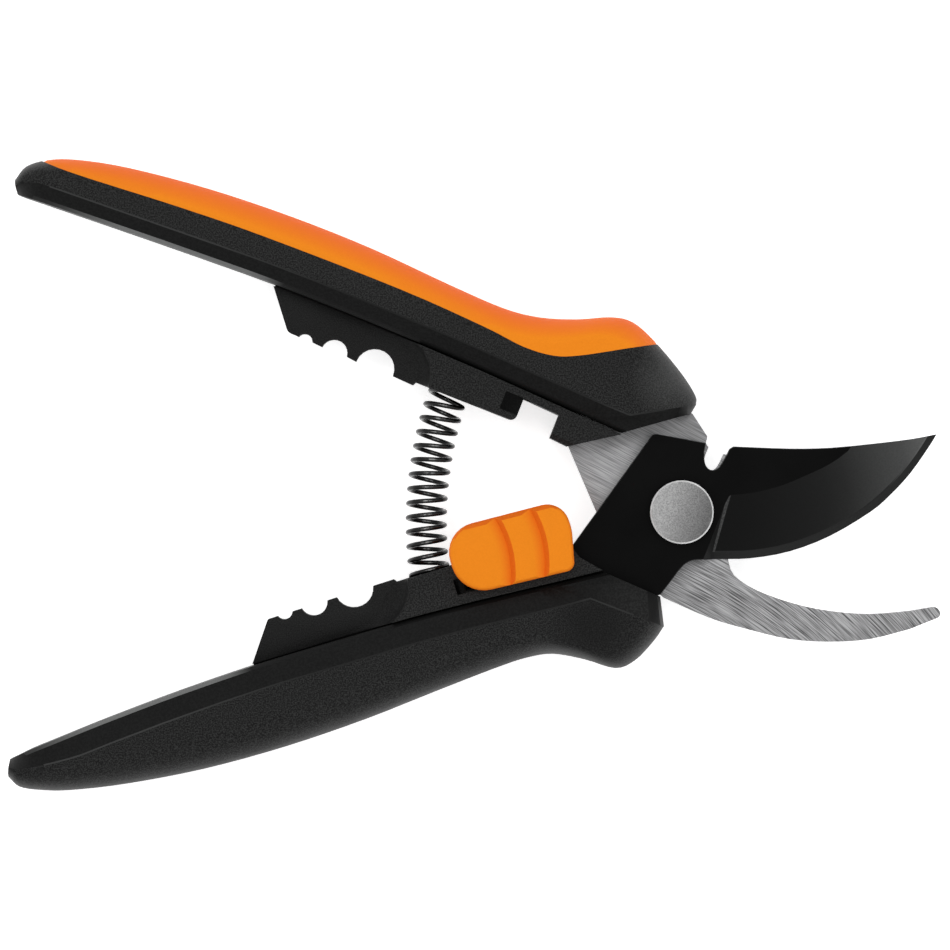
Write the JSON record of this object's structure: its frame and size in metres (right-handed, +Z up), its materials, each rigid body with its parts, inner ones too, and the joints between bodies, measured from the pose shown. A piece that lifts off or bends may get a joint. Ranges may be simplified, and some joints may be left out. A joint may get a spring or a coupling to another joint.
{
  "type": "floral snips",
  "caption": "Hand snips for flowers and thin wire: bypass blade and hooked counter blade on a pivot, sprung handles with stem-stripping combs and a sliding lock.",
  "frame": {"origin": "middle of the footprint of the opened tool, on the surface that it lies on", "axes": "+X along the middle line from the handles to the blade tips, +Y to the handle with the orange insert, +Z up through the flat of the tool, out of the face with the lock button"},
  "size_m": [0.1765, 0.1188, 0.0171],
  "materials": {
    "coated_steel": "black low-friction coating with a fine grain",
    "brushed_steel": "brushed across the blade",
    "pivot_steel": "flat ground face with a bright rim",
    "spring_steel": "black oxide wire",
    "black_plastic": "fine moulded grain",
    "orange_rubber": "matt soft insert",
    "orange_plastic": "matt moulded plastic"
  },
  "bodies": {
    "lower_lever": {"cutting_blade": "coated_steel", "lower_handle": "black_plastic", "lower_core": "black_plastic", "pivot_rivet": "pivot_steel", "pivot_collar": "pivot_steel", "return_spring": "spring_steel"},
    "upper_lever": {"counter_blade": "brushed_steel", "upper_handle": "black_plastic", "upper_core": "black_plastic", "upper_grip": "orange_rubber"},
    "lock": {"lock_slider": "orange_plastic", "lock_retainer": "black_plastic"}
  },
  "joints": [
    {"name": "blade_pivot", "type": "hinge", "parent": "lower_lever", "child": "upper_lever", "pos_m": [0.03881, -0.003, 0.0078], "axis": [0, 0, 1], "range_deg": [0, 38.2], "stiffness_Nm_per_rad": 0.35, "springref_deg": -20.05, "deforming": ["return_spring"]},
    {"name": "lock_slide", "type": "slide", "parent": "lower_lever", "child": "lock", "axis": [-0.9429, -0.333, 0], "range_m": [0, 0.0048]}
  ]
}
